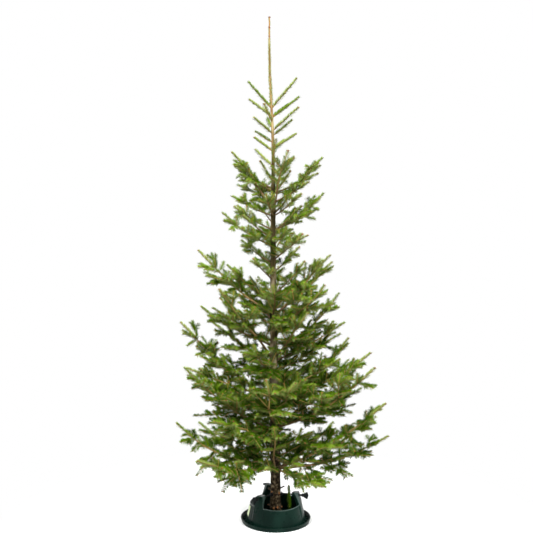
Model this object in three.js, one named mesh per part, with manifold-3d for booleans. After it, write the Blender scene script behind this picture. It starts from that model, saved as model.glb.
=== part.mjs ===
// A cut fir tree standing in a round plastic water stand, built as separate solids:
// trunk, main boughs, masses of foliage, saucer, bucket and three clamping screws.
// Units are millimetres, +Z is up, and the origin is the centre of the stand's flat underside.
import * as THREE from 'three';
import { mergeVertices } from 'three/addons/utils/BufferGeometryUtils.js';
import Module from 'manifold-3d';

const wasm = await Module();
wasm.setup();

// ---- Driving dimensions ----
const TREE_HEIGHT = 2197;
const CLEARANCE = 0.6;

// Stand.
const SAUCER_RADIUS = 152;
const SAUCER_FOOT_RADIUS = 148;
const SAUCER_HEIGHT = 18;
const SAUCER_WALL = 3.5;
const SAUCER_FLOOR = 4;
const BUCKET_BOTTOM = SAUCER_FLOOR + 0.4;
const BUCKET_BASE_RADIUS = 130;
const BUCKET_TOP_RADIUS = 101;
const BUCKET_WALL = 3.5;
const BUCKET_FLOOR = 4;
const LOBE_HEIGHT = 82;
const TOWER_HEIGHT = 129;
const TOWER_BULGE = 20;
const TOWER_FLAT_HALF_ANGLE = 8;
const TOWER_FULL_HALF_ANGLE = 17;
const FIRST_TOWER = -13;
const TOWER_COUNT = 3;
const LATHE_STEPS = 39;

// Clamping screws.
const SCREW_HEIGHT = 117;
const SCREW_RADIUS = 4.5;
const SCREW_END = 128;
const PAD_RADIUS = 9;
const PAD_THICKNESS = 5;
const WING_START = 118;
const WING_RADIUS = 28;
const WING_HALF_ANGLE = 36;
const WING_THICKNESS = 7;
const WING_ROLLS = [0, 90, 0];

// Trunk: flat cut foot, slight root flare, long taper, and a lean towards -X that the leader adds to.
const TRUNK_FOOT = BUCKET_BOTTOM + BUCKET_FLOOR + 0.4;
const TRUNK_RADIUS = 23.5;
const TRUNK_TIP_RADIUS = 2.6;
const TAPER_POWER = 1.2;
const FLARE = 4;
const FLARE_HEIGHT = 35;
const LEAN = -11;
const LEAN_TO = 1100;
const LEADER_LEAN = -16.5;
const LEADER_LEAN_FROM = 1600;
const LEADER_LEAN_TO = 2050;

// Boughs and foliage.
const BOUGH_LEAST_RADIUS = 2;
const BOUGH_SHARE_OF_TRUNK = 0.14;
const BOUGH_TIP_RADIUS = 1.5;
const FOLIAGE_HALF_WIDTH = 0.31;
const FOLIAGE_HALF_HEIGHT = 0.085;
const FOLIAGE_BASE_HEIGHT = 12;
const SHOOT_HALF_WIDTH = 12;
const SHOOT_HALF_HEIGHT = 9;

// Every bough: height on the trunk, turn about it, horizontal reach, rise to its tip, power of
// its upward sweep, and the share of its length that is bare limb (0: foliage from the trunk).
const BOUGHS = {
  upper_left: { height: 1335, turn: 190, reach: 182, rise: 280, sweep: 0.9, bare: 0.45 },
  upper_right: { height: 1335, turn: 352, reach: 216, rise: 258, sweep: 1.1, bare: 0.4 },
  upper_front: { height: 1335, turn: 290, reach: 180, rise: 260, sweep: 0.9, bare: 0.4 },
  upper_back: { height: 1345, turn: 75, reach: 195, rise: 240, sweep: 1, bare: 0 },
  upper_back_left: { height: 1330, turn: 130, reach: 190, rise: 225, sweep: 1, bare: 0 },
  high_left: { height: 1185, turn: 200, reach: 229, rise: 148, sweep: 1.2, bare: 0 },
  high_right: { height: 1250, turn: 5, reach: 225, rise: 181, sweep: 1.1, bare: 0 },
  high_front: { height: 1127, turn: 305, reach: 200, rise: 112, sweep: 1.1, bare: 0 },
  high_back: { height: 1170, turn: 95, reach: 240, rise: 150, sweep: 1.2, bare: 0 },
  middle_left: { height: 905, turn: 168, reach: 343, rise: 276, sweep: 1.3, bare: 0.3 },
  middle_right: { height: 885, turn: 350, reach: 250, rise: 290, sweep: 1.1, bare: 0.3 },
  middle_back_right: { height: 890, turn: 38, reach: 350, rise: 240, sweep: 1.2, bare: 0 },
  middle_front_left: { height: 700, turn: 232, reach: 365, rise: 320, sweep: 1, bare: 0.45 },
  middle_back: { height: 890, turn: 85, reach: 320, rise: 220, sweep: 1.2, bare: 0 },
  middle_back_left: { height: 870, turn: 126, reach: 330, rise: 215, sweep: 1.2, bare: 0 },
  inner_left: { height: 765, turn: 192, reach: 320, rise: 172, sweep: 1.4, bare: 0 },
  inner_right: { height: 690, turn: 12, reach: 300, rise: 300, sweep: 1.1, bare: 0 },
  inner_front: { height: 820, turn: 308, reach: 330, rise: 215, sweep: 1.2, bare: 0 },
  wide_left: { height: 530, turn: 170, reach: 428, rise: 330, sweep: 1.3, bare: 0.25 },
  wide_right: { height: 505, turn: 346, reach: 420, rise: 238, sweep: 1.3, bare: 0 },
  wide_front_right: { height: 400, turn: 322, reach: 495, rise: 310, sweep: 1.4, bare: 0 },
  wide_front_left: { height: 400, turn: 212, reach: 435, rise: 300, sweep: 1.4, bare: 0.25 },
  wide_front: { height: 400, turn: 264, reach: 360, rise: 270, sweep: 1.3, bare: 0.3 },
  wide_back_right: { height: 490, turn: 30, reach: 405, rise: 285, sweep: 1.3, bare: 0 },
  wide_back: { height: 470, turn: 88, reach: 430, rise: 250, sweep: 1.3, bare: 0 },
  low_right: { height: 225, turn: 6, reach: 507, rise: 130, sweep: 2.2, bare: 0.25 },
  low_front_right: { height: 230, turn: 335, reach: 494, rise: 320, sweep: 1.35, bare: 0.3 },
  low_left: { height: 225, turn: 181, reach: 434, rise: 200, sweep: 1.9, bare: 0 },
  low_front_left: { height: 225, turn: 224, reach: 430, rise: 115, sweep: 1.6, bare: 0 },
  low_front: { height: 215, turn: 266, reach: 230, rise: 258, sweep: 1.2, bare: 0.35 },
  low_front_droop: { height: 228, turn: 296, reach: 410, rise: 35, sweep: 1.6, bare: 0 },
  low_back_right: { height: 225, turn: 50, reach: 440, rise: 130, sweep: 1.8, bare: 0 },
  low_back: { height: 230, turn: 100, reach: 460, rise: 150, sweep: 1.7, bare: 0 },
  low_back_left: { height: 235, turn: 146, reach: 430, rise: 140, sweep: 1.8, bare: 0 },
};

// Unbranched first-year shoots below the leader, clad in needles over their whole length.
const TOP_SHOOTS = [
  { height: 1793, turn: 200, reach: 106, rise: 108 },
  { height: 1795, turn: 340, reach: 113, rise: 120 },
  { height: 1760, turn: 165, reach: 101, rise: 80 },
  { height: 1755, turn: 15, reach: 121, rise: 97 },
  { height: 1698, turn: 335, reach: 120, rise: 90 },
  { height: 1684, turn: 214, reach: 97, rise: 60 },
  { height: 1608, turn: 168, reach: 82, rise: 63 },
  { height: 1622, turn: 22, reach: 108, rise: 70 },
];

const DEGREE = Math.PI / 180;
const group = new THREE.Group();
group.name = 'christmas_tree_with_stand';

const finish = (color, roughness) => new THREE.MeshStandardMaterial({ color, roughness, metalness: 0 });
const bark = () => finish(0x5a4a3a, 0.9);
const needles = () => finish(0x4f6a34, 0.7);
const greenPlastic = () => finish(0x1c3630, 0.4);
const blackPlastic = () => finish(0x14181a, 0.5);

function addPart(name, geometry, material) {
  const mesh = new THREE.Mesh(geometry, material);
  mesh.name = name;
  group.add(mesh);
}

// A closed, welded copy of a geometry with each vertex moved by a function.
function shaped(source, move) {
  source.deleteAttribute('normal');
  source.deleteAttribute('uv');
  const geometry = mergeVertices(source, 1e-4);
  const places = geometry.attributes.position;
  const point = new THREE.Vector3();
  for (let i = 0; i < places.count; i += 1) {
    point.fromBufferAttribute(places, i);
    const moved = move(point.clone());
    places.setXYZ(i, moved.x, moved.y, moved.z);
  }
  return geometry;
}

function toSolid(geometry) {
  return new wasm.Manifold(new wasm.Mesh({
    numProp: 3,
    vertProperties: new Float32Array(geometry.attributes.position.array),
    triVerts: new Uint32Array(geometry.index.array),
  }));
}

function toGeometry(solid) {
  const mesh = solid.getMesh();
  const geometry = new THREE.BufferGeometry();
  geometry.setAttribute('position', new THREE.BufferAttribute(mesh.vertProperties, 3));
  geometry.setIndex(new THREE.BufferAttribute(mesh.triVerts, 1));
  return geometry;
}

// The largest body that is left of a solid once it has been cut.
function largestBody(solid) {
  const bodies = solid.decompose();
  bodies.sort((a, b) => b.volume() - a.volume());
  return bodies[0];
}

function boxesMeet(a, b) {
  return [0, 1, 2].every((axis) => a.min[axis] < b.max[axis] && b.min[axis] < a.max[axis]);
}

function cutBy(solid, cutters) {
  let cut = solid;
  for (const cutter of cutters) {
    if (boxesMeet(cut.boundingBox(), cutter.boundingBox())) cut = cut.subtract(cutter);
  }
  return largestBody(cut);
}

// ---- Trunk ----
function trunkCentre(height) {
  const ease = THREE.MathUtils.smoothstep;
  return LEAN * ease(height, 0, LEAN_TO)
    + LEADER_LEAN * ease(height, LEADER_LEAN_FROM, LEADER_LEAN_TO);
}

function trunkRadius(height) {
  const taper = Math.max(0, 1 - height / TREE_HEIGHT) ** TAPER_POWER;
  const flare = FLARE * Math.exp(-height / FLARE_HEIGHT);
  return TRUNK_TIP_RADIUS + (TRUNK_RADIUS - TRUNK_TIP_RADIUS) * taper + flare;
}

function trunkGeometry(grow) {
  return shaped(new THREE.CylinderGeometry(1, 1, 1, 12, 18), (p) => {
    const height = THREE.MathUtils.lerp(TRUNK_FOOT - grow, TREE_HEIGHT + grow, p.y + 0.5);
    const radius = trunkRadius(height) + grow;
    return new THREE.Vector3(trunkCentre(height) + p.z * radius, p.x * radius, height);
  });
}

addPart('trunk', trunkGeometry(0), bark());
const trunkCutter = toSolid(trunkGeometry(CLEARANCE));

// ---- Boughs ----
// The line that a bough follows, from the trunk's centre (t = 0) to its tip (t = 1), with the
// directions that are sideways and upwards from it.
function boughLine({ height, turn, reach, rise, sweep = 1 }) {
  const out = new THREE.Vector3(Math.cos(turn * DEGREE), Math.sin(turn * DEGREE), 0);
  const side = new THREE.Vector3(-out.y, out.x, 0);
  const at = (t) => new THREE.Vector3(trunkCentre(height), 0, height + rise * Math.max(0, t) ** sweep)
    .addScaledVector(out, reach * t);
  const up = (t) => {
    const along = at(Math.min(1, t + 0.02)).sub(at(Math.max(0, t - 0.02))).normalize();
    return along.cross(side).normalize();
  };
  return { at, side, up, length: Math.hypot(reach, rise) };
}

function limbGeometry(bough, grow) {
  const line = boughLine(bough);
  const rootRadius = BOUGH_LEAST_RADIUS + BOUGH_SHARE_OF_TRUNK * trunkRadius(bough.height);
  return shaped(new THREE.CylinderGeometry(1, 1, 1, 6, 4), (p) => {
    const t = bough.bare * (p.y + 0.5);
    const radius = THREE.MathUtils.lerp(rootRadius, BOUGH_TIP_RADIUS, t) + grow;
    return line.at(t)
      .addScaledVector(line.side, -p.x * radius)
      .addScaledVector(line.up(t), p.z * radius);
  });
}

const limbCutters = [];
for (const [name, bough] of Object.entries(BOUGHS)) {
  if (bough.bare === 0) continue;
  const limb = cutBy(toSolid(limbGeometry(bough, 0)), [trunkCutter, ...limbCutters]);
  addPart(`bough_${name}`, toGeometry(limb), bark());
  limbCutters.push(toSolid(limbGeometry(bough, CLEARANCE)));
}

// ---- Foliage ----
// A flat, leaf-shaped solid along a bough: broad near its root, drawn out to a point at its tip,
// with a wavy outline and a rougher top.
function foliageGeometry(line, start, halfWidth, halfHeight, phase, sides, rings, grow) {
  const reachOver = grow / line.length;
  return shaped(new THREE.SphereGeometry(1, sides, rings), (p) => {
    const u = (p.y + 1) / 2;
    const t = THREE.MathUtils.lerp(start - reachOver, 1 + reachOver, u);
    const narrowing = 1.15 - 0.3 * u - 0.4 * u ** 4;
    const lobes = 1 + 0.13 * Math.sin(17 * u + phase);
    const waves = 1 + 0.2 * Math.sin(5 * p.x + 9 * u + 2 * phase);
    const round = Math.hypot(p.x, p.z) || 1;
    const width = p.x * (halfWidth * narrowing * lobes + grow / round);
    const lift = p.z * (halfHeight * narrowing * waves + grow / round);
    return line.at(t).addScaledVector(line.side, -width).addScaledVector(line.up(t), lift);
  });
}

const foliageCutters = [];
function addFoliage(name, line, sizes) {
  const { start, halfWidth, halfHeight, phase, sides, rings } = sizes;
  const build = (grow) => toSolid(
    foliageGeometry(line, start, halfWidth, halfHeight, phase, sides, rings, grow),
  );
  const cut = cutBy(build(0), [trunkCutter, ...limbCutters, ...foliageCutters]);
  addPart(`foliage_${name}`, toGeometry(cut), needles());
  foliageCutters.push(build(CLEARANCE));
}

Object.entries(BOUGHS).forEach(([name, bough], index) => {
  const line = boughLine(bough);
  addFoliage(name, line, {
    start: Math.max(bough.bare, 0.1),
    halfWidth: FOLIAGE_HALF_WIDTH * line.length,
    halfHeight: FOLIAGE_HALF_HEIGHT * line.length + FOLIAGE_BASE_HEIGHT,
    phase: index * 2.4,
    sides: 10,
    rings: 7,
  });
});

TOP_SHOOTS.forEach((shoot, index) => {
  addFoliage(`top_${index + 1}`, boughLine(shoot), {
    start: 0.06,
    halfWidth: SHOOT_HALF_WIDTH,
    halfHeight: SHOOT_HALF_HEIGHT,
    phase: index * 1.7,
    sides: 8,
    rings: 5,
  });
});

// ---- Stand ----
// Lathed about Y, then turned so that the axis is Z.
function lathe(profile) {
  const points = profile.map(([radius, height]) => new THREE.Vector2(radius, height));
  return new THREE.LatheGeometry(points, LATHE_STEPS).rotateX(Math.PI / 2);
}

addPart('saucer', shaped(lathe([
  [0, 0],
  [SAUCER_FOOT_RADIUS, 0],
  [SAUCER_RADIUS - 2, SAUCER_HEIGHT - 4],
  [SAUCER_RADIUS, SAUCER_HEIGHT - 1],
  [SAUCER_RADIUS - 1, SAUCER_HEIGHT],
  [SAUCER_RADIUS - 1 - SAUCER_WALL, SAUCER_HEIGHT],
  [SAUCER_FOOT_RADIUS - SAUCER_WALL, SAUCER_FLOOR],
  [0, SAUCER_FLOOR],
]), (p) => p), greenPlastic());

// How far a direction lies inside a screw tower: 1 at its middle, 0 between towers.
function towerShare(direction) {
  const spacing = 360 / TOWER_COUNT;
  const turn = THREE.MathUtils.euclideanModulo(direction / DEGREE - FIRST_TOWER, spacing);
  const away = Math.min(turn, spacing - turn);
  return 1 - THREE.MathUtils.smoothstep(away, TOWER_FLAT_HALF_ANGLE, TOWER_FULL_HALF_ANGLE);
}

function bucketOuterRadius(height) {
  const share = (height - BUCKET_BOTTOM) / (TOWER_HEIGHT - BUCKET_BOTTOM);
  return THREE.MathUtils.lerp(BUCKET_BASE_RADIUS, BUCKET_TOP_RADIUS, share);
}

// The bucket's wall rises and thickens inwards at each tower.
function bucketGeometry() {
  const floorTop = BUCKET_BOTTOM + BUCKET_FLOOR;
  const steps = [0, 0.33, 0.66, 1];
  const inner = 1;
  const outer = 2;
  const profile = [
    [0, BUCKET_BOTTOM],
    [outer, BUCKET_BOTTOM],
    ...steps.map((share) => [outer, THREE.MathUtils.lerp(floorTop, TOWER_HEIGHT, share)]),
    ...steps.map((share) => [inner, THREE.MathUtils.lerp(TOWER_HEIGHT, floorTop, share)]),
    [0, floorTop],
  ];
  return shaped(lathe(profile), (p) => {
    const ring = Math.round(Math.hypot(p.x, p.y));
    if (ring === 0) return p;
    const direction = Math.atan2(p.y, p.x);
    const tower = towerShare(direction);
    const rim = THREE.MathUtils.lerp(LOBE_HEIGHT, TOWER_HEIGHT, tower);
    const share = Math.max(0, (p.z - floorTop) / (TOWER_HEIGHT - floorTop));
    const height = p.z < floorTop ? p.z : THREE.MathUtils.lerp(floorTop, rim, share);
    const inset = ring === inner ? BUCKET_WALL + TOWER_BULGE * tower : 0;
    const radius = bucketOuterRadius(height) - inset;
    return new THREE.Vector3(radius * Math.cos(direction), radius * Math.sin(direction), height);
  });
}

// A cylinder along X from one radius to another, at the screws' height.
function rodAlongX(from, to, radius, sides) {
  return toSolid(shaped(new THREE.CylinderGeometry(radius, radius, to - from, sides), (p) => (
    new THREE.Vector3(p.y + (from + to) / 2, -p.x, p.z + SCREW_HEIGHT)
  )));
}

// A fan-shaped grip, narrow towards the stand and rounded outside, upright or rolled about the screw.
function wing(roll) {
  const fan = new THREE.Shape();
  const root = SCREW_RADIUS;
  const half = WING_HALF_ANGLE * DEGREE;
  fan.moveTo(WING_START, -root);
  fan.absarc(WING_START, 0, WING_RADIUS, -half, half, false);
  fan.lineTo(WING_START, root);
  const blank = new THREE.ExtrudeGeometry(fan, {
    depth: WING_THICKNESS, bevelEnabled: false, curveSegments: 8,
  });
  const cos = Math.cos(roll * DEGREE);
  const sin = Math.sin(roll * DEGREE);
  return toSolid(shaped(blank, (p) => {
    const across = WING_THICKNESS / 2 - p.z;
    return new THREE.Vector3(p.x, across * cos - p.y * sin, across * sin + p.y * cos + SCREW_HEIGHT);
  }));
}

function turned(solid, angle) {
  return solid.rotate([0, 0, angle]);
}

let bucket = toSolid(bucketGeometry());
for (let i = 0; i < TOWER_COUNT; i += 1) {
  const angle = FIRST_TOWER + (360 * i) / TOWER_COUNT;
  const hole = rodAlongX(BUCKET_TOP_RADIUS - 60, BUCKET_TOP_RADIUS + 20, SCREW_RADIUS + CLEARANCE, 12);
  bucket = bucket.subtract(turned(hole, angle));
  const start = trunkRadius(SCREW_HEIGHT) + 2 * CLEARANCE + 1;
  const screw = rodAlongX(start + 1, SCREW_END, SCREW_RADIUS, 10)
    .add(rodAlongX(start, start + PAD_THICKNESS, PAD_RADIUS, 12))
    .add(wing(WING_ROLLS[i]));
  addPart(`screw_${i + 1}`, toGeometry(turned(screw, angle)), blackPlastic());
}
addPart('bucket', toGeometry(bucket), greenPlastic());

export default group;
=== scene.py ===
"""A cut fir in its plastic water stand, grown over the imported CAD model. Metres, +Z up, Blender 4.5."""
import math

import bpy
import numpy as np
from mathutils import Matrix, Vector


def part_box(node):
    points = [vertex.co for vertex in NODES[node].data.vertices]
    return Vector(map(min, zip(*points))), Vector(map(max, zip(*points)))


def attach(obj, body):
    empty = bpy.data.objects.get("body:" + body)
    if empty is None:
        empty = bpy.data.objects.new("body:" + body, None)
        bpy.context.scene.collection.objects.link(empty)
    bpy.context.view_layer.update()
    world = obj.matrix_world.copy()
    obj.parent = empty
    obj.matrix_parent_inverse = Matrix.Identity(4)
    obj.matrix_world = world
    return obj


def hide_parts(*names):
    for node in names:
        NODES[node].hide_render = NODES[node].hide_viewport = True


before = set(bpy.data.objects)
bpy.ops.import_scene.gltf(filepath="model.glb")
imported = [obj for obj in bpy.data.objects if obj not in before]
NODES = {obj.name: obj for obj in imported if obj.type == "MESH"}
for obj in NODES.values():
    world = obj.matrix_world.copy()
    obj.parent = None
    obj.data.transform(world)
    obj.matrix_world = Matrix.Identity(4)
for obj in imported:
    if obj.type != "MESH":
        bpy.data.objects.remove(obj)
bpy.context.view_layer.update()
rng = np.random.default_rng(20)

# ---- Driving sizes ----
NEEDLE_LENGTH = 0.0215
NEEDLE_WIDTH = 0.0024
NEEDLE_FOLD = 0.0005
NEEDLES_PER_METRE = 2300
PIECE_NEEDLES = 97000  # two triangles each, so a piece stays under 200,000
LOOSE_SHOOTS = 150  # how many at a time the shoots outside the masses are dealt into pieces
YEAR = 0.105  # one year's growth of a bough
SHORTEST_SHOOT = 0.022
TIP_ZONE = 0.26  # this near a bough's tip its laterals don't branch
UNBRANCHED = 3  # the order of a shoot that bears no others
LOW_TIP = 0.36  # a bough whose tip is under this height is one of the lowest
CLEAR_FOOT = 0.125  # the lowest front boughs are bare this far out
GOLDEN_TURN = 137.5
LESSER_BOUGHS = (
    # height on the trunk, turn, length, climb
    (1.45, 180, 0.190, 30), (1.33, 172, 0.200, 26), (1.27, 200, 0.200, 28), (1.44, 196, 0.155, 24),
    (1.43, 8, 0.210, 24), (1.39, -20, 0.180, 27), (1.27, 5, 0.210, 25), (1.17, -15, 0.160, 26),
    (1.33, -36, 0.165, 30), (0.70, 3, 0.345, 28),
    (0.254, -104, 0.170, 5), (0.264, -58, 0.180, 5), (0.262, -148, 0.185, 5), (0.266, -24, 0.185, 3),
)
EYE = (-0.04, -3.05, 1.107)
HALF_VIEW = 1.164  # half the width that the camera sees at the trunk
UP = np.array([0.0, 0.0, 1.0])
RAD = math.pi / 180


# ---- Materials ----
def plain(name, colour, roughness, specular=0.5):
    """One base colour and one roughness all over: for needles, twigs and buds dealt out by spray."""
    material = bpy.data.materials.new(name)
    material.use_nodes = True
    shader = material.node_tree.nodes["Principled BSDF"]
    shader.inputs["Base Color"].default_value = (*colour, 1)
    shader.inputs["Roughness"].default_value = roughness
    shader.inputs["Specular IOR Level"].default_value = specular
    return material


class MaterialNodes:
    """A short way to write a material's nodes and links."""

    def __init__(self, name, roughness=0.6, specular=0.5):
        self.material = bpy.data.materials.new(name)
        self.material.use_nodes = True
        self.tree = self.material.node_tree
        self.shader = self.tree.nodes["Principled BSDF"]
        self.shader.inputs["Roughness"].default_value = roughness
        self.shader.inputs["Specular IOR Level"].default_value = specular
        self.place = self.add("ShaderNodeTexCoord").outputs["Object"]

    def add(self, kind, **settings):
        node = self.tree.nodes.new(kind)
        for key, value in settings.items():
            if key in node.inputs:
                node.inputs[key].default_value = value
            else:
                setattr(node, key, value)
        return node

    def link(self, source, node, socket):
        self.tree.links.new(source, node.inputs[socket])

    def stretched(self, scale):
        mapping = self.add("ShaderNodeMapping")
        mapping.inputs["Scale"].default_value = scale
        self.link(self.place, mapping, "Vector")
        return mapping.outputs["Vector"]

    def noise(self, scale, detail=4, vector=None):
        node = self.add("ShaderNodeTexNoise", Scale=scale, Detail=detail)
        self.link(vector or self.place, node, "Vector")
        return node.outputs["Fac"]

    def cells(self, scale, vector=None):
        node = self.add("ShaderNodeTexVoronoi", Scale=scale)
        self.link(vector or self.place, node, "Vector")
        return node.outputs["Distance"]

    def ramp(self, factor, stops):
        node = self.add("ShaderNodeValToRGB")
        elements = node.color_ramp.elements
        while len(elements) < len(stops):
            elements.new(0.5)
        for element, (position, colour) in zip(elements, stops):
            element.position = position
            element.color = (*colour, 1)
        self.link(factor, node, "Fac")
        return node.outputs["Color"]

    def mix(self, factor, first, second, blend="MIX"):
        node = self.add("ShaderNodeMix", data_type="RGBA", blend_type=blend)
        for socket, value in ((0, factor), (6, first), (7, second)):
            if isinstance(value, bpy.types.NodeSocket):
                self.tree.links.new(value, node.inputs[socket])
            else:
                node.inputs[socket].default_value = value
        return node.outputs[2]

    def bump(self, height, strength, distance):
        node = self.add("ShaderNodeBump", Strength=strength, Distance=distance)
        self.link(height, node, "Height")
        self.link(node.outputs["Normal"], self.shader, "Normal")

    def share(self, value, low, high):
        """0 below low and 1 above high."""
        node = self.add("ShaderNodeMapRange", clamp=True, **{"From Min": low, "From Max": high})
        self.link(value, node, "Value")
        return node.outputs["Result"]

    def height_share(self, low, high):
        split = self.add("ShaderNodeSeparateXYZ")
        self.link(self.place, split, "Vector")
        return self.share(split.outputs["Z"], low, high)

    def distance_share(self, vector, low, high):
        away = self.add("ShaderNodeVectorMath", operation="LENGTH")
        self.link(vector, away, "Vector")
        return self.share(away.outputs["Value"], low, high)


NEEDLE_TONES = [
    plain("needle_deep", (0.020, 0.050, 0.001), 0.55, 0.05),
    plain("needle_dark", (0.042, 0.096, 0.001), 0.55, 0.05),
    plain("needle_green", (0.088, 0.170, 0.003), 0.55, 0.06),
    plain("needle_light", (0.188, 0.292, 0.026), 0.55, 0.08),
    plain("needle_pale", (0.305, 0.380, 0.085), 0.55, 0.10),
    plain("needle_leader", (0.205, 0.235, 0.040), 0.55, 0.10),
]
UNDER_TONES = [
    plain("needle_under_dark", (0.076, 0.122, 0.018), 0.65, 0.05),
    plain("needle_under_light", (0.185, 0.245, 0.060), 0.65, 0.06),
]
TWIG_TONES = [
    plain("twig_young", (0.350, 0.230, 0.062), 0.65, 0.12),
    plain("twig_middle", (0.240, 0.148, 0.048), 0.75, 0.10),
    plain("twig_old", (0.100, 0.060, 0.024), 0.8, 0.08),
]
BUD_TONES = [
    plain("bud_dark", (0.130, 0.040, 0.014), 0.55, 0.2),
    plain("bud_light", (0.250, 0.092, 0.030), 0.55, 0.2),
]


# ---- Meshes ----
class Build:
    """Vertices, faces and face materials of one joined piece."""

    def __init__(self):
        self.vertices = []
        self.faces = []
        self.slots = []
        self.count = 0

    def add(self, vertices, faces, slot=0):
        self.vertices.append(np.asarray(vertices, float))
        self.faces.extend(tuple(int(i) + self.count for i in face) for face in faces)
        self.slots.extend([slot] * len(faces))
        self.count += len(vertices)

    def make(self, name, materials, smooth=True):
        mesh = bpy.data.meshes.new(name)
        mesh.from_pydata(np.concatenate(self.vertices).tolist(), [], self.faces)
        mesh.polygons.foreach_set("material_index", self.slots)
        return finish_piece(name, mesh, materials, smooth)


def finish_piece(name, mesh, materials, smooth):
    for material in materials:
        mesh.materials.append(material)
    mesh.polygons.foreach_set("use_smooth", [smooth] * len(mesh.polygons))
    mesh.update()
    piece = bpy.data.objects.new(name, mesh)
    bpy.context.scene.collection.objects.link(piece)
    return piece


def unit(v):
    return v / np.maximum(np.linalg.norm(v, axis=-1, keepdims=True), 1e-12)


def columns_at(places, known, table):
    """Every column of a table, read at the places given."""
    return np.stack([np.interp(places, known, column) for column in table.T], -1)


def tube(points, radii, sides):
    """A closed tube along points; rings keep a steady turn about the path."""
    points = np.asarray(points, float)
    along = unit(np.gradient(points, axis=0))
    hint = UP if abs(along[:, 2]).mean() < 0.9 else np.array([1.0, 0.0, 0.0])
    across = unit(np.cross(along, hint))
    over = np.cross(across, along)
    turn = np.arange(sides) * 2 * math.pi / sides
    radii = np.asarray(radii)[:, None, None]
    rings = (points[:, None] + across[:, None] * (np.cos(turn)[:, None] * radii)
             + over[:, None] * (np.sin(turn)[:, None] * radii))
    return rings.reshape(-1, 3), skin_faces(len(points), sides)


def skin_faces(rings, sides, turned=False):
    """Quads between rings of vertices and a cap at each end; turned when the rings run the other way."""
    faces = []
    for a in range(0, (rings - 1) * sides, sides):
        b = a + sides
        for j in range(sides):
            k = (j + 1) % sides
            faces.append((a + j, a + k, b + k, b + j) if turned else (a + j, b + j, b + k, a + k))
    first = tuple(range(sides))
    last = tuple(range((rings - 1) * sides, rings * sides))
    return faces + ([first[::-1], last] if turned else [first, last[::-1]])


# ---- The trunk, read from the CAD node ----
def points_of(node):
    mesh = NODES[node].data
    places = np.empty(len(mesh.vertices) * 3, np.float32)
    mesh.vertices.foreach_get("co", places)
    return places.reshape(-1, 3).astype(float)


def edges_of(node):
    mesh = NODES[node].data
    ends = np.empty(len(mesh.edges) * 2, np.int32)
    mesh.edges.foreach_get("vertices", ends)
    return ends.reshape(-1, 2)


def read_trunk():
    points = points_of("trunk")
    levels = np.unique(points[:, 2].round(4))
    rows = []
    for level in levels:
        ring = points[abs(points[:, 2] - level) < 2e-4]
        low, high = ring.min(0), ring.max(0)
        rows.append((level, (low[0] + high[0]) / 2, (low[1] + high[1]) / 2, (high[0] - low[0]) / 2))
    return np.array(rows).T


TRUNK_Z, TRUNK_X, TRUNK_Y, TRUNK_R = read_trunk()
FOOT = TRUNK_Z[0]
TOP = TRUNK_Z[-1]


def trunk_centre(z):
    return np.stack([np.interp(z, TRUNK_Z, TRUNK_X), np.interp(z, TRUNK_Z, TRUNK_Y),
                     np.asarray(z, float) * 1.0], -1)


def trunk_radius(z):
    return np.interp(z, TRUNK_Z, TRUNK_R)


# ---- Charts: the curved sheet that a bough's sprays lie in ----
class Chart:
    """s runs along the bough from the trunk's surface, and w sideways from it."""

    def __init__(self, centre, side, left, right, mass_start):
        steps = np.linalg.norm(np.diff(centre, axis=0), axis=1)
        self.s = np.concatenate([[0], np.cumsum(steps)])
        self.centre = centre
        self.side = side
        along = unit(np.gradient(centre, axis=0))
        self.over = unit(np.cross(side, -along))
        self.over *= np.sign(self.over[:, 2:3] + 1e-9)
        self.out = unit((centre[-1] - centre[0]) * [1, 1, 0])
        self.left = left
        self.right = right
        self.length = self.s[-1]
        self.mass_start = mass_start

    def place(self, s, w):
        """Points in the sheet and its upward direction there."""
        return columns_at(s, self.s, self.centre) + w[:, None] * self.side, columns_at(s, self.s, self.over)

    def width(self, s, w):
        return np.where(w >= 0, np.interp(s, self.s, self.left), np.interp(s, self.s, self.right))


def chart_of_mass(name):
    """Reads a bough's line and its outline on both sides from its limb and its mass of foliage."""
    node = "foliage_" + name
    mass = points_of(node)
    off = mass - trunk_centre(mass[:, 2])
    away = np.hypot(off[:, 0], off[:, 1])
    tip = mass[away.argmax()]
    base = trunk_centre(mass[away.argmin(), 2])
    out = unit((tip - base) * [1, 1, 0])
    side = np.array([-out[1], out[0], 0])
    local = np.stack([(mass - base) @ out, (mass - base) @ side, mass[:, 2]], 1)
    reach = local[:, 0].max()
    start = local[:, 0].min()
    edges = edges_of(node)
    first, second = local[edges[:, 0]], local[edges[:, 1]]
    rows = []
    for distance in np.linspace(start, reach, 22)[1:-1]:
        crossing = (first[:, 0] - distance) * (second[:, 0] - distance) < 0
        a, b = first[crossing], second[crossing]
        share = (distance - a[:, 0]) / (b[:, 0] - a[:, 0])
        cut = a + (b - a) * share[:, None]
        rows.append((distance, cut[:, 2].min() / 2 + cut[:, 2].max() / 2, cut[:, 1].max(), -cut[:, 1].min()))
    rows = np.array(rows)
    line_x, line_z = rows[:, 0], rows[:, 1]
    if "bough_" + name in NODES:
        limb = points_of("bough_" + name)
        line_x = np.concatenate([line_x, (limb - base) @ out])
        line_z = np.concatenate([line_z, limb[:, 2]])
    fit = np.polynomial.Polynomial.fit(
        np.append(line_x, reach), np.append(line_z, tip[2]), 3, w=np.append(np.ones(len(line_x)), 8))
    along = np.linspace(0.6 * trunk_radius(base[2]), reach, 48)
    centre = base * [1, 1, 0] + along[:, None] * out + fit(along)[:, None] * UP
    known = np.append(rows[:, 0], reach)
    left = np.interp(along, known, np.append(np.maximum(rows[:, 2], 0.004), 0.012))
    right = np.interp(along, known, np.append(np.maximum(rows[:, 3], 0.004), 0.012))
    chart = Chart(centre, side, left, right, 0)
    chart.mass_start = float(np.interp(start, along, chart.s))
    return chart


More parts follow.
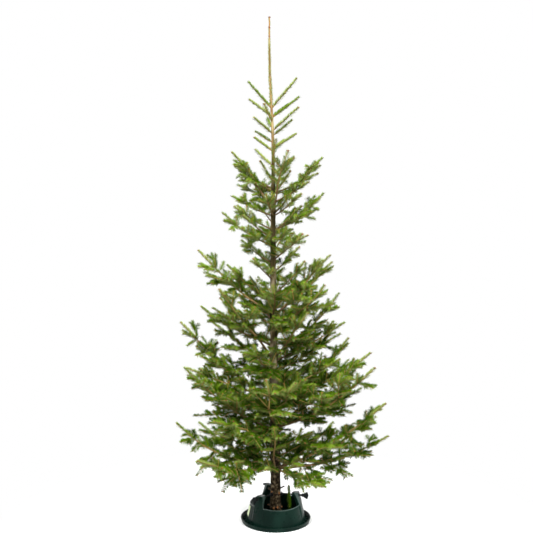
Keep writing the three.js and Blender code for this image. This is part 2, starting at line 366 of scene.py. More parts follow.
def chart_of_sprig(height, turn, length, climb):
    """A short bough that the trunk bears between two whorls, with a leaf-shaped outline of its own."""
    base = trunk_centre(height)
    out = np.array([math.cos(turn), math.sin(turn), 0])
    side = np.array([-out[1], out[0], 0])
    t = np.linspace(0, 1, 16)
    start = 0.6 * trunk_radius(height)
    along = start + t * length * math.cos(climb)
    centre = base + along[:, None] * out + (length * math.sin(climb) * t ** 1.2)[:, None] * UP
    half = 0.33 * length * np.sin(math.pi * (0.12 + 0.86 * t)) + 0.006
    return Chart(centre, side, half, half, 0.02)


# ---- Growth ----
class Shoot:
    """One unbranched length of twig and the needles on it."""

    def __init__(self, points, over, radii, tone, density=1.0, needle=1.0, spread=54, bare=0.0):
        self.points = points
        self.over = over
        self.radii = radii
        self.tone = tone
        self.density = density
        self.needle = needle
        self.spread = spread
        self.bare = bare
        self.length = float(np.linalg.norm(np.diff(points, axis=0), axis=1).sum())
        self.needles = int(self.length * (1 - bare) * NEEDLES_PER_METRE * density)


def shoot_line(chart, start, heading, rise, length, lift):
    """Points of a shoot that leaves at a heading from the bough's own, and lifts or droops at its tip."""
    flat = chart.out * math.cos(heading) + chart.side * math.sin(heading)
    t = np.linspace(0, 1, max(4, int(length / 0.014) + 1))[:, None]
    aim = flat * math.cos(rise) + UP * math.sin(rise)
    return start + length * (t * aim + t ** 2 * (0.10 * chart.out + lift * UP - 0.05 * aim))


def room(chart, s0, w0, heading, want):
    """How far a shoot can run before it leaves the outline or crosses the bough's axis."""
    steps = np.arange(0.01, want + 0.01, 0.005)
    s = s0 + steps * math.cos(heading * 0.9)
    w = w0 + steps * math.sin(heading * 0.9)
    free = (abs(w) <= chart.width(s, w)) & (s <= chart.length + 0.004)
    if abs(w0) > 0.008:
        free &= w * w0 > 0
    blocked = np.flatnonzero(~free)
    return want if len(blocked) == 0 else min(want, steps[blocked[0]])


def tone_for(share, height, lift=0.0):
    """Deeper green inside and low down, lighter towards the tips and the top: partly the needles' age,
    partly painted shade inside and low down and painted light at the top.
    """
    value = -0.36 + 1.7 * share + 3.1 * height + lift + rng.normal(0, 0.75)
    return int(np.clip(round(value), 0, 3))


def years_back(start, end):
    """Where each year's growth ended along an axis, newest first."""
    ends = []
    while end > start + 0.35 * YEAR:
        ends.append(end)
        end -= YEAR * rng.uniform(0.88, 1.12)
    return ends


def grow(chart, shoots, limbs):
    """A bough's main axis, grown a year at a time, with laterals at each year's end and between."""
    total = chart.length
    height = (chart.centre[-1, 2] - FOOT) / (TOP - FOOT)
    count = max(8, int(total / 0.006))
    s = np.linspace(0, total, count)
    wobble = 0.005 * np.sin(s * 21 + rng.uniform(0, 6)) * np.minimum(s / 0.1, 1)
    radii = (0.0014 + 0.0058 * total) * (1 - s / total) ** 0.85 + 0.0011
    leading = float(np.clip(0.30 * total, 0.055, 0.108))
    points, over = chart.place(s, wobble)
    limbs.append((points, radii))
    cut = int(count * (total - leading) / total)
    shoots.append(Shoot(points[cut::2], over[cut::2], radii[cut::2], int(rng.integers(3, 5)),
                        density=0.85, needle=0.90, spread=50))
    slope = np.gradient(points, axis=0)
    climb = np.arctan2(slope[:, 2], np.hypot(slope[:, 0], slope[:, 1]))
    lift = np.interp(height, [0.1, 0.35], [-0.11, 0.10])
    first = max(chart.mass_start, 0.012)
    if total > 0.2 and points[-1, 2] < LOW_TIP and chart.out[1] < -0.3:
        first = max(first, CLEAR_FOOT)
    bare = min(first / max(total - leading, 1e-6) + 0.08, 0.97)
    shoots.append(Shoot(points[:cut + 2:2], over[:cut + 2:2], radii[:cut + 2:2], tone_for(0.5, height),
                        density=0.25, needle=0.85, bare=bare))

    def bear(place, heading, rise, want, order):
        """One lateral from the main axis, as long as the outline leaves room for."""
        start = columns_at(place, s, points)
        w0 = float(np.interp(place, s, wobble))
        if order < UNBRANCHED:
            want = room(chart, place, w0, heading, want)
        if want > SHORTEST_SHOOT:
            side_bough(chart, shoots, start, place, w0, heading, rise, want, height, lift,
                       place / total, order)

    ends = years_back(first, total - leading)
    for age, node in enumerate(ends, 1):
        before = ends[age] if age < len(ends) else first
        own = float(np.interp(node, s, climb))
        for sign in (1, -1):  # the pair that ends the year
            bear(node, sign * rng.uniform(50, 76) * RAD, 0.5 * own + rng.normal(3, 20) * RAD,
                 (0.68 * (total - node) + 0.012) * rng.uniform(0.8, 1.08), 1)
        for sign in (1, -1):  # short shoots that stand up round it
            if rng.random() < 0.62:
                bear(node - 0.004, sign * rng.uniform(20, 120) * RAD, rng.uniform(40, 75) * RAD,
                     rng.uniform(0.034, 0.052), UNBRANCHED)
        if rng.random() < 0.35:  # and one that hangs
            bear(node - 0.003, rng.uniform(-60, 60) * RAD, rng.uniform(-45, -15) * RAD,
                 rng.uniform(0.032, 0.050), UNBRANCHED)
        place = node - rng.uniform(0.022, 0.032)
        while place > before + 0.016:
            own = float(np.interp(place, s, climb))
            for sign in (1, -1):
                near = total - place < TIP_ZONE
                if rng.random() < (0.42 if near else 0.12):
                    continue
                bear(place, sign * rng.uniform(60, 108 if near else 80) * RAD,
                     0.25 * own + rng.normal(4, 21) * RAD,
                     (0.036 + 0.20 * (total - place)) * rng.uniform(0.75, 1.1),
                     UNBRANCHED if near else 2)
            if rng.random() < 0.24:
                bear(place, rng.uniform(-120, 120) * RAD, rng.uniform(30, 70) * RAD,
                     rng.uniform(0.034, 0.050), UNBRANCHED)
            place -= rng.uniform(0.032, 0.046)


def side_bough(chart, shoots, start, s0, w0, heading, rise, length, height, lift, share, order):
    """A lateral and, when it is long enough, the shoots along both of its sides."""
    points = shoot_line(chart, start, heading, rise, length, lift)
    t = np.linspace(0, 1, len(points))
    radii = (0.0005 + 0.009 * length) * (1 - t) + 0.0009
    over = np.tile(unit(UP - 0.45 * chart.out), (len(points), 1))
    shoots.append(Shoot(points, over, radii, tone_for(share, height, 0.25),
                        density=0.65 if length > 0.10 else 1.0, spread=53))
    if length < 0.062 or order >= UNBRANCHED:
        return
    flat = math.cos(rise)
    tip = float(np.clip(0.46 * length, 0.040, 0.070))
    place = length - tip
    while place > 0.020:
        u = place / length
        base = columns_at(u, t, points)
        s1 = s0 + place * flat * math.cos(heading)
        w1 = w0 + place * flat * math.sin(heading)
        for sign in (1, -1):
            if rng.random() < 0.08:
                continue
            turn = heading + sign * rng.uniform(46, 68) * RAD
            want = min(0.58 * (length - place) + 0.012, 0.13) * rng.uniform(0.8, 1.1)
            run = room(chart, s1, w1, turn, want)
            if run > SHORTEST_SHOOT:
                side_bough(chart, shoots, base, s1, w1, turn, 0.7 * rise + rng.normal(1, 13) * RAD,
                           run, height, lift, share, order + 1)
        if rng.random() < 0.18:
            side_bough(chart, shoots, base, s1, w1, heading + rng.uniform(-50, 50) * RAD,
                       rng.uniform(32, 62) * RAD, rng.uniform(0.03, 0.045), height, lift, share, UNBRANCHED)
        place -= rng.uniform(0.038, 0.052)


def single_shoot(chart, tone):
    """An unbranched shoot, clad in needles from the trunk to its tip."""
    s = np.linspace(0, chart.length, 14)
    points, over = chart.place(s, 0 * s)
    radii = np.interp(s / chart.length, [0, 1], [0.0030, 0.0013])
    return Shoot(points, over, radii, tone, needle=0.85, spread=46, bare=0.06)


def grow_crown(limbs):
    """Every mass of foliage in the frame, lowest first."""
    names = [node[len("foliage_"):] for node in NODES if node.startswith("foliage_")]
    charts = {name: chart_of_mass(name) for name in names}
    names.sort(key=lambda name: (charts[name].centre[0, 2], name))
    grown = []
    for name in names:
        shoots = []
        if name.startswith("top_"):
            shoots.append(single_shoot(charts[name], 4 if rng.random() < 0.7 else 3))
        else:
            grow(charts[name], shoots, limbs)
        grown.append((name, shoots))
    return grown


def grow_sprigs(limbs):
    """The lesser boughs between the whorls: those listed, then a spiral of them."""
    shoots = []
    for height, turn, length, climb in LESSER_BOUGHS:
        grow(chart_of_sprig(height, turn * RAD, length, climb * RAD), shoots, limbs)
    height = 0.275
    turn = 0.7
    while height < 1.78:
        length = np.interp(height, [0.27, 0.40, 0.7, 0.95, 1.2, 1.45, 1.78],
                           [0.31, 0.39, 0.35, 0.24, 0.18, 0.12, 0.085]) * rng.uniform(0.75, 1.12)
        climb = np.interp(height, [0.27, 0.9], [16, 36]) + rng.uniform(-7, 9)
        if height < LOW_TIP and math.sin(turn) < -0.2:
            length *= 0.75
        chart = chart_of_sprig(height, turn, length, climb * RAD)
        if height > 1.42:
            shoots.append(single_shoot(chart, int(rng.integers(2, 5))))
        else:
            grow(chart, shoots, limbs)
        step = np.interp(height, [0.3, 0.8, 1.1, 1.78], [0.028, 0.033, 0.033, 0.028])
        height += step * rng.uniform(0.8, 1.2)
        turn += GOLDEN_TURN * RAD
    return shoots


def grow_drops():
    """Twigs that hang from the lowest boughs, and one that stands in the bucket."""
    shoots = []
    for turn, away, height, length, lean in (
        (-20, 0.058, 0.160, 0.092, 0.05), (-28, 0.100, 0.222, 0.075, 0.35),
        (-12, 0.130, 0.224, 0.070, 0.5), (-5, 0.165, 0.226, 0.062, 0.6),
        (-40, 0.085, 0.228, 0.050, 0.4), (190, 0.120, 0.232, 0.060, 0.5),
        (205, 0.165, 0.236, 0.055, 0.6), (70, 0.120, 0.215, 0.080, 0.35),
        (150, 0.130, 0.215, 0.070, 0.35),
    ):
        out = np.array([math.cos(turn * RAD), math.sin(turn * RAD), 0])
        t = np.linspace(0, 1, 9)[:, None]
        points = (trunk_centre(height) + out * away + length * t * (lean * out - UP)
                  + 0.02 * t ** 2 * lean * out)
        radii = np.linspace(0.0016, 0.0009, 9)
        shoots.append(Shoot(points, np.tile(out, (9, 1)), radii, int(rng.integers(1, 3)), spread=40))
    return shoots


def leader_shoots():
    """The leader's short needles, pressed forward and sparse, all round the stem."""
    shoots = []
    for low, high, size, density in ((1.80, 1.98, 0.46, 1.0), (1.98, TOP - 0.095, 0.38, 0.95),
                                     (TOP - 0.095, TOP - 0.006, 0.24, 0.5)):
        z = np.linspace(low, high, 24)
        for turn in (0, 120, 240):
            over = np.tile([math.cos(turn * RAD), math.sin(turn * RAD), 0], (len(z), 1))
            shoots.append(Shoot(trunk_centre(z), over, trunk_radius(z), 5, density=density / 3,
                                needle=size, spread=50))
    return shoots


limbs = []
crown = grow_crown(limbs)
sprigs = grow_sprigs(limbs) + grow_drops()
leader = leader_shoots()
twig_shoots = sprigs + [shoot for _, shoots in crown for shoot in shoots]


# ---- Needles ----
def along_shoot(t, table):
    return columns_at(t, np.linspace(0, 1, len(table)), table)


def needles_on(shoot):
    """Corners of a shoot's needles (base, left, right, tip) and the tone of each."""
    count = shoot.needles
    if count < 2:
        return np.zeros((0, 4, 3)), np.zeros(0, int)
    t = shoot.bare + (1 - shoot.bare) * (np.arange(count) + rng.uniform(0, 1, count)) / count
    base = along_shoot(t, shoot.points)
    ahead = unit(along_shoot(t, np.gradient(shoot.points, axis=0)))
    over = along_shoot(t, shoot.over)
    over = unit(over - ahead * (over * ahead).sum(1, keepdims=True))
    side = np.cross(ahead, over)
    upper = rng.random(count) < 0.60
    turn = np.where(upper, rng.uniform(8, 172, count), rng.uniform(-42, 8, count))
    turn = np.where(~upper & (rng.random(count) < 0.5), 180 - turn, turn) * RAD
    near_tip = np.clip((t - 0.86) / 0.14, 0, 1)
    spread = (shoot.spread + rng.normal(0, 7, count) - 12 * near_tip) * RAD
    radial = side * np.cos(turn)[:, None] + over * np.sin(turn)[:, None]
    aim = unit(ahead * np.cos(spread)[:, None] + radial * np.sin(spread)[:, None])
    size = 0.80 + 0.22 * np.sin(math.pi * t ** 0.7) - 0.24 * np.maximum(np.sin(turn), 0)
    reach = NEEDLE_LENGTH * shoot.needle * size * rng.uniform(0.85, 1.12, count)
    thick = np.interp(t, np.linspace(0, 1, len(shoot.radii)), shoot.radii)
    base = base + radial * (0.7 * thick)[:, None]
    face = ahead + 0.7 * over
    face = unit(face - aim * (face * aim).sum(1, keepdims=True))
    across = np.cross(aim, face) * (0.5 * NEEDLE_WIDTH * rng.uniform(0.85, 1.15, count))[:, None]
    middle = base + aim * (0.42 * reach)[:, None] - face * NEEDLE_FOLD
    corners = np.stack([base, middle + across, middle - across, base + aim * reach[:, None]], 1)
    under = len(NEEDLE_TONES) + (1 if shoot.tone > 1 else 0)
    return corners, np.where(upper | (shoot.tone > 4), shoot.tone, under)


def needle_piece(name, shoots):
    """Joins the needles of many shoots: each is a blade folded along its midrib."""
    parts = [needles_on(shoot) for shoot in shoots]
    corners = np.concatenate([part[0] for part in parts])
    tones = np.concatenate([part[1] for part in parts]).astype(np.int32)
    count = len(corners)
    pattern = np.array([[0, 1, 3], [0, 3, 2]], np.int32)
    faces = (np.arange(count, dtype=np.int32)[:, None, None] * 4 + pattern).reshape(-1, 3)
    mesh = bpy.data.meshes.new(name)
    mesh.vertices.add(count * 4)
    mesh.vertices.foreach_set("co", corners.astype(np.float32).ravel())
    mesh.loops.add(len(faces) * 3)
    mesh.loops.foreach_set("vertex_index", faces.ravel())
    mesh.polygons.add(len(faces))
    mesh.polygons.foreach_set("loop_start", np.arange(0, len(faces) * 3, 3, dtype=np.int32))
    mesh.polygons.foreach_set("material_index", np.repeat(tones, 2))
    mesh.update(calc_edges=True)
    return finish_piece(name, mesh, [*NEEDLE_TONES, *UNDER_TONES], False)


def make_needles():
    """Whole masses are dealt into pieces, each of under 200,000 triangles."""
    loose = [*sprigs, *leader]
    dealt = [("", loose[i:i + LOOSE_SHOOTS]) for i in range(0, len(loose), LOOSE_SHOOTS)]
    groups = [([], [])]
    load = 0
    for name, shoots in [*crown, *dealt]:
        extra = sum(shoot.needles for shoot in shoots)
        if load + extra > PIECE_NEEDLES:
            groups.append(([], []))
            load = 0
        groups[-1][0].extend(shoots)
        if name:
            groups[-1][1].append("foliage_" + name)
        load += extra
    for index, (shoots, nodes) in enumerate(groups, 1):
        piece = needle_piece(f"needles_{index}", shoots)
        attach(piece, "root")
        if nodes:
            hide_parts(*nodes)


make_needles()


# ---- Twigs and buds ----
def make_twigs():
    """Tan first-year twigs, browner as they thicken."""
    build = Build()
    for shoot in twig_shoots:
        vertices, faces = tube(shoot.points, shoot.radii, 4 if shoot.radii[0] > 0.0022 else 3)
        tone = int(np.searchsorted([0.0019, 0.0030], shoot.radii.mean()))
        build.add(vertices, faces, tone)
    twigs = build.make("twigs", TWIG_TONES)
    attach(twigs, "root")


def bud_shape(centre, aim, radius, length):
    """A closed pointed bud: two square rings between its foot and its point."""
    across = unit(np.cross(aim, UP + 0.01))
    over = np.cross(across, aim)
    turn = np.arange(4) * math.pi / 2
    ring = np.cos(turn)[:, None] * across + np.sin(turn)[:, None] * over
    vertices = [centre]
    for share, size in ((0.18, 0.85), (0.62, 0.95)):
        vertices.extend(centre + aim * length * share + ring * radius * size)
    vertices.append(centre + aim * length)
    faces = []
    for j in range(4):
        k = (j + 1) % 4
        faces.append((0, 1 + k, 1 + j))
        faces.append((1 + j, 1 + k, 5 + k, 5 + j))
        faces.append((5 + j, 5 + k, 9))
    return np.array(vertices), faces


def make_buds():
    """One bud at the end of every shoot, three on some, and knots of them up the leader."""
    build = Build()
    for shoot in twig_shoots:
        aim = unit(shoot.points[-1] - shoot.points[-2])
        across = unit(np.cross(aim, shoot.over[-1]))
        tip = shoot.points[-1] - 0.001 * aim
        size = rng.uniform(0.8, 1.1) * (1.25 if shoot.tone >= 4 else 1)
        build.add(*bud_shape(tip, aim, 0.0026 * size, 0.0072 * size), int(rng.integers(0, 2)))
        if shoot.tone >= 4 or rng.random() < 0.25:
            for sign in (1, -1):
                lean = unit(aim + sign * 0.9 * across)
                build.add(*bud_shape(tip, lean, 0.0020 * size, 0.0056 * size), 1)
    for below, count in ((0.088, 4), (0.049, 4), (0.004, 5)):
        centre = trunk_centre(TOP - below)
        for j in range(count):
            turn = 1.6 * j + 40 * below
            lean = unit(np.array([math.cos(turn), math.sin(turn), 0.9]))
            build.add(*bud_shape(centre + 0.0015 * lean, lean, 0.0026, 0.0064), 0)
    buds = build.make("buds", BUD_TONES)
    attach(buds, "root")


make_twigs()
make_buds()


# ---- Bark ----
def bark_material(name, dark, base, light, scale, fine):
    m = MaterialNodes(name, 0.85, 0.25)
    blotch = m.ramp(m.noise(scale), ((0.32, dark), (0.5, base), (0.68, light)))
    fleck = m.ramp(m.noise(scale * 4.5, 6), ((0.50, (1, 1, 1)), (0.72, (0.55, 0.5, 0.45))))
    colour = m.mix(1.0, blotch, fleck, "MULTIPLY")
    m.link(colour, m.shader, "Base Color")
    m.bump(m.noise(fine, 6), 0.7, 0.0012)
    return m.material


def trunk_material():
    """Dark and mottled low down, olive-brown above with painted patches of light and shade, and tan up the
    leader with a reddish tip.
    """
    m = MaterialNodes("trunk_bark", 0.85, 0.06)
    low = m.ramp(m.noise(90, 5), ((0.36, (0.007, 0.004, 0.002)), (0.51, (0.027, 0.019, 0.009)),
                                  (0.66, (0.115, 0.088, 0.055))))
    # The olive-brown stretch's strong blotches are partly bark colour and partly painted patches of sunlight
    # and painted shade.
    middle = m.ramp(m.noise(26, 5, m.stretched((1, 1, 0.30))),
                    ((0.42, (0.012, 0.009, 0.003)), (0.53, (0.056, 0.043, 0.016)),
                     (0.64, (0.290, 0.230, 0.145))))
    high = m.ramp(m.noise(60, 5, m.stretched((1, 1, 0.35))),
                  ((0.34, (0.150, 0.072, 0.028)), (0.52, (0.265, 0.185, 0.078)),
                   (0.70, (0.36, 0.285, 0.140))))
    lower = m.mix(m.height_share(0.25, 0.75), low, middle)
    whole = m.mix(m.height_share(1.52, 1.72), lower, high)
    whole = m.mix(m.height_share(TOP - 0.11, TOP - 0.08), whole, (0.270, 0.140, 0.048, 1))
    crack = m.ramp(m.cells(150, m.stretched((1, 1, 0.5))), ((0.0, (0.35, 0.30, 0.25)), (0.25, (1, 1, 1))))
    m.link(m.mix(0.6, whole, crack, "MULTIPLY"), m.shader, "Base Color")
    m.bump(m.noise(420, 5), 0.8, 0.0015)
    return m.material


def bough_material():
    """Brown by the trunk, tan farther out."""
    m = MaterialNodes("bough_bark", 0.75, 0.1)
    share = m.distance_share(m.stretched((1, 1, 0)), 0.03, 0.22)
    old = m.ramp(m.noise(150), ((0.35, (0.050, 0.032, 0.016)), (0.62, (0.150, 0.098, 0.046))))
    young = m.ramp(m.noise(170), ((0.35, (0.200, 0.125, 0.042)), (0.65, (0.360, 0.240, 0.080))))
    m.link(m.mix(share, old, young), m.shader, "Base Color")
    m.bump(m.noise(600, 4), 0.5, 0.0006)
    return m.material


def ripple(points, size, height):
    """Smooth three-dimensional relief from crossed waves of several lengths."""
    value = np.zeros(len(points))
    for octave in range(5):
        wave = 2 * math.pi / (size * 0.62 ** octave)
        turn = 1.3 + 2.1 * octave
        x = points[:, 0] * math.cos(turn) + points[:, 1] * math.sin(turn)
        y = points[:, 1] * math.cos(turn) - points[:, 0] * math.sin(turn)
        bend = 1.7 * np.sin(0.37 * wave * points[:, 2] + turn)
        crossed = np.cos(wave * (0.6 * points[:, 2] + 0.5 * y) + bend)
        value += 0.72 ** octave * np.sin(wave * x + bend) * crossed
    return height * value


def make_trunk():
    sides = 30
    z = np.concatenate([np.arange(FOOT, TOP - 0.002, 0.005), [TOP - 0.0012]])
    centre = trunk_centre(z)
    radius = trunk_radius(z)
    swelling = np.zeros(len(z))
    for points, radii in limbs:
        swelling += 0.35 * radii[0] * np.exp(-((z - points[0, 2]) / 0.010) ** 2)
    radius = radius + np.minimum(swelling, 0.10 * radius + 0.0008)
    turn = np.arange(sides) * 2 * math.pi / sides
    ring = np.stack([np.cos(turn), np.sin(turn), 0 * turn], 1)
    vertices = (centre[:, None] + ring * radius[:, None, None]).reshape(-1, 3)
    outward = np.tile(ring, (len(z), 1))
    relief = ripple(vertices, 0.011, 1) * np.repeat(0.00010 + 0.022 * radius, sides)
    vertices = vertices + outward * relief[:, None]
    vertices[:sides, 2] = FOOT
    build = Build()
    build.add(vertices, skin_faces(len(z), sides))
    trunk = build.make("trunk_bark", [trunk_material()])
    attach(trunk, "root")
    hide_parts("trunk")


def make_limbs():
    """The main axis of every bough, with a little rippled relief."""
    build = Build()
    for points, radii in limbs:
        sides = 8 if len(points) > 45 else 6
        vertices, faces = tube(points, radii, sides)
        centre = np.repeat(points, sides, axis=0)
        outward = vertices - centre
        relief = ripple(vertices, 0.009, 0.05)
        build.add(centre + outward * (1 + relief)[:, None], faces)
    boughs = build.make("bough_limbs", [bough_material()])
    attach(boughs, "root")
    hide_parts(*[node for node in NODES if node.startswith("bough_")])


def make_stubs():
    """Short stubs where the lowest branches were trimmed, with dull orange cut ends."""
    build = Build()
    for height, turn, length, radius in (
        (0.122, -60, 0.010, 0.0055), (0.131, 160, 0.012, 0.0050), (0.138, 8, 0.020, 0.0030),
        (0.127, -125, 0.010, 0.0045), (0.062, -75, 0.009, 0.0060), (0.058, -105, 0.010, 0.0050),
        (0.066, 200, 0.014, 0.0045), (0.060, -30, 0.009, 0.0045), (0.125, 80, 0.010, 0.0050),
        (0.070, 130, 0.012, 0.0050),
    ):
        out = np.array([math.cos(turn * RAD), math.sin(turn * RAD), 0.45])
        t = np.linspace(0, 1, 5)[:, None]
        start = trunk_centre(height) + out * [0.9, 0.9, 0] * trunk_radius(height)
        points = start + out * length * t
        sides = 9
        vertices, faces = tube(points, radius * np.array([1.25, 1.05, 1.0, 0.98, 0.9]), sides)
        build.add(vertices, faces[:-1], 0)
        build.add(vertices[-sides:], [tuple(reversed(range(sides)))], 1)
    bark = bark_material(
        "stub_bark", (0.020, 0.012, 0.007), (0.050, 0.033, 0.020), (0.10, 0.07, 0.045), 200, 500)
    wood = bark_material(
        "cut_wood", (0.090, 0.032, 0.008), (0.150, 0.060, 0.016), (0.240, 0.120, 0.045), 260, 900)
    stubs = build.make("trimmed_stubs", [bark, wood], False)
    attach(stubs, "root")


make_trunk()
make_limbs()
make_stubs()


# ---- Stand ----
def plastic(name, dark, light, roughness, grain, specular):
    """Moulded satin plastic: a faint flow in its colour and a fine grain."""
    m = MaterialNodes(name, roughness, specular)
    flow = m.ramp(m.noise(14, 3, m.stretched((1, 1, 0.5))), ((0.35, dark), (0.68, light)))
    m.link(flow, m.shader, "Base Color")
    duller = {"To Min": roughness - 0.07, "To Max": roughness + 0.12}
    gloss = m.add("ShaderNodeMapRange", clamp=True, **duller)
    m.link(m.noise(40, 4), gloss, "Value")
    m.link(gloss.outputs["Result"], m.shader, "Roughness")
    m.bump(m.noise(grain, 2), 0.25, 0.0004)
    return m.material


def turned_profile(rows, angles):
    """Rings of (radius, height) over every angle, joined into a closed skin."""
    radius = np.array([row[0] + 0 * angles for row in rows])
    height = np.array([row[1] + 0 * angles for row in rows])
    vertices = np.stack([radius * np.cos(angles), radius * np.sin(angles), height], -1)
    return vertices.reshape(-1, 3), skin_faces(len(rows), len(angles), turned=True)


def make_saucer(material):
    """A shallow dish with an upright rolled rim and moulded ribs across its trough."""
    low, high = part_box("saucer")
    radius = high[0]
    top = high[2]
    base = low[2]
    floor = base + 0.004
    foot = radius - 0.004
    angles = np.arange(160) * 2 * math.pi / 160
    rows = [
        (0.004, base), (0.6 * foot, base), (foot - 0.002, base), (foot, base + 0.0012),
        (radius - 0.0026, top - 0.0052), (radius - 0.0006, top - 0.0040), (radius, top - 0.0022),
        (radius - 0.0006, top - 0.0006), (radius - 0.0022, top), (radius - 0.0040, top - 0.0006),
        (radius - 0.0052, top - 0.0026), (foot - 0.0052, floor + 0.0022), (foot - 0.0078, floor),
        (0.6 * foot, floor), (0.004, floor),
    ]
    build = Build()
    build.add(*turned_profile(rows, angles))
    inside = foot - 0.0072
    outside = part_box("bucket")[1][0] + 0.0006
    ribs = 30
    for index in range(ribs):
        turn = index * 2 * math.pi / ribs
        out = np.array([math.cos(turn), math.sin(turn), 0])
        side = np.array([-out[1], out[0], 0])
        corners = []
        for away, up in ((outside - 0.004, 0.0), (inside + 0.001, 0.0), (inside + 0.001, 0.0045),
                         (outside - 0.004, 0.0105)):
            for across in (-0.0010, 0.0010):
                corners.append(out * away + side * across + UP * (floor - 0.0005 + up))
        build.add(corners, [(0, 1, 3, 2), (2, 3, 5, 4), (4, 5, 7, 6), (6, 7, 1, 0),
                            (0, 2, 4, 6), (1, 7, 5, 3)])
    saucer = build.make("saucer_ribbed", [material])
    saucer.data.set_sharp_from_angle(angle=35 * RAD)
    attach(saucer, "root")
    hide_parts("saucer")


def bucket_sizes():
    """Reads the towers' turns, the base and top, and the radii at both from the CAD bucket."""
    points = points_of("bucket")
    top = points[:, 2].max()
    base = points[:, 2].min()
    away = np.hypot(points[:, 0], points[:, 1])
    crest = points[points[:, 2] > top - 0.001]
    turns = np.sort(np.arctan2(crest[:, 1], crest[:, 0]) % (2 * math.pi))
    parts = np.split(turns, np.flatnonzero(np.diff(turns) > 0.5) + 1)
    if turns[0] + 2 * math.pi - turns[-1] < 0.5:
        parts[0] = np.concatenate([parts.pop() - 2 * math.pi, parts[0]])
    towers = [float((part.min() + part.max()) / 2) for part in parts]
    foot = away[abs(points[:, 2] - base) < 0.001].max()
    crown = away[points[:, 2] > top - 0.001].max()
    return towers, base, top, foot, crown


def make_bucket(material, edge):
    """The flared bucket: three low lobes with a rolled lip painted lighter as a highlight, and three towers
    that hold the screws.
    """
    towers, base, top, foot, crown = bucket_sizes()
    lobe = 0.082  # the height of the low lobes' crest
    floor = base + 0.004
    wall = 0.0034
    steps = 240
    angles = np.arange(steps) * 2 * math.pi / steps
    away = np.full(steps, 9.0)
    for tower in towers:
        gap = abs((angles - tower + math.pi) % (2 * math.pi) - math.pi)
        away = np.minimum(away, gap)

    def ease(value, low, high):
        t = np.clip((value - low) / (high - low), 0, 1)
        return 1 - t * t * (3 - 2 * t)

    raised = ease(away, 8 * RAD, 13 * RAD)
    sag = 0.0035 * np.sin(np.clip((away - 14 * RAD) / (46 * RAD), 0, 1) * math.pi / 2)
    rim = lobe - sag + (top - lobe) * raised
    fold = 0.0034 * (ease(away, 13 * RAD, 14.5 * RAD) - 0.5)
    boss = ease(away, 5 * RAD, 19 * RAD)

    def outer(z):
        share = (z - base) / (top - base)
        return foot + (crown - foot) * share + fold * np.clip(share * 3, 0, 1)

    rows = [(0.004 + 0 * angles, base), (foot * 0.7 + 0 * angles, base), (outer(base) - 0.0015, base)]
    for share in np.linspace(0.0, 1, 15):
        z = base + 0.0015 + (rim - 0.0035 - base - 0.0015) * share
        rows.append((outer(z), z))
    lip = 0.0012 * (1 - raised)
    lip_row = len(rows)
    for out_by, below in ((0.4, 0.0030), (1.0, 0.0020), (1.0, 0.0007), (0.3, 0.0)):
        rows.append((outer(rim) + lip * out_by, rim - below))
    rows.append((outer(rim) - wall * 0.75 - 0.020 * boss * raised, rim))
    for share in np.linspace(0.99, 0.0, 15):
        z = floor + (rim - floor) * share
        depth = wall + 0.0225 * boss * (0.30 + 0.70 * share ** 0.6) * raised ** 0.5
        rows.append((outer(z) - depth, z))
    rows.append((0.5 * foot + 0 * angles, floor + 0 * angles))
    rows.append((0.004 + 0 * angles, floor + 0 * angles))
    build = Build()
    build.add(*turned_profile(rows, angles))
    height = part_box("screw_1")[0][2] / 2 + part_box("screw_1")[1][2] / 2
    for tower in towers:
        out = np.array([math.cos(tower), math.sin(tower), 0])
        start = out * (crown - 0.029) + UP * height
        build.add(*tube([start, start + out * 0.033], [0.0098, 0.0098], 24))
    bucket = build.make("bucket_moulded", [material, edge])
    # The lip's faces take the second material, a lighter green that paints a highlight along the rim.
    for polygon in bucket.data.polygons[(lip_row + 1) * steps:(lip_row + 4) * steps]:
        polygon.material_index = 1
    bucket.data.set_sharp_from_angle(angle=38 * RAD)
    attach(bucket, "root")
    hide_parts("bucket")


def make_label(material):
    """A blank paper label on the left of the bucket."""
    base, top, foot, crown = bucket_sizes()[1:]
    build = Build()
    middle = 192 * RAD
    columns = np.linspace(middle - 0.12, middle + 0.12, 13)
    rows = np.linspace(0.030, 0.072, 7)
    vertices = []
    for lift in (0.0004, 0.0009):
        for z in rows:
            for turn in columns:
                radius = foot + (crown - foot) * (z - base) / (top - base) + lift
                vertices.append((radius * math.cos(turn), radius * math.sin(turn), z))
    faces = []
    wide, tall = len(columns), len(rows)
    layer = wide * tall
    for i in range(tall - 1):
        for j in range(wide - 1):
            a = i * wide + j
            faces.append((a, a + wide, a + wide + 1, a + 1))
            faces.append((layer + a, layer + a + 1, layer + a + wide + 1, layer + a + wide))
    edge = [*range(wide), *range(2 * wide - 1, layer, wide),
            *range(layer - 2, layer - wide - 1, -1), *range(layer - 2 * wide, 0, -wide)]
    for a, b in zip(edge, edge[1:] + edge[:1]):
        faces.append((a, b, layer + b, layer + a))
    build.add(vertices, faces)
    label = build.make("blank_label", [material])
    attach(label, "root")


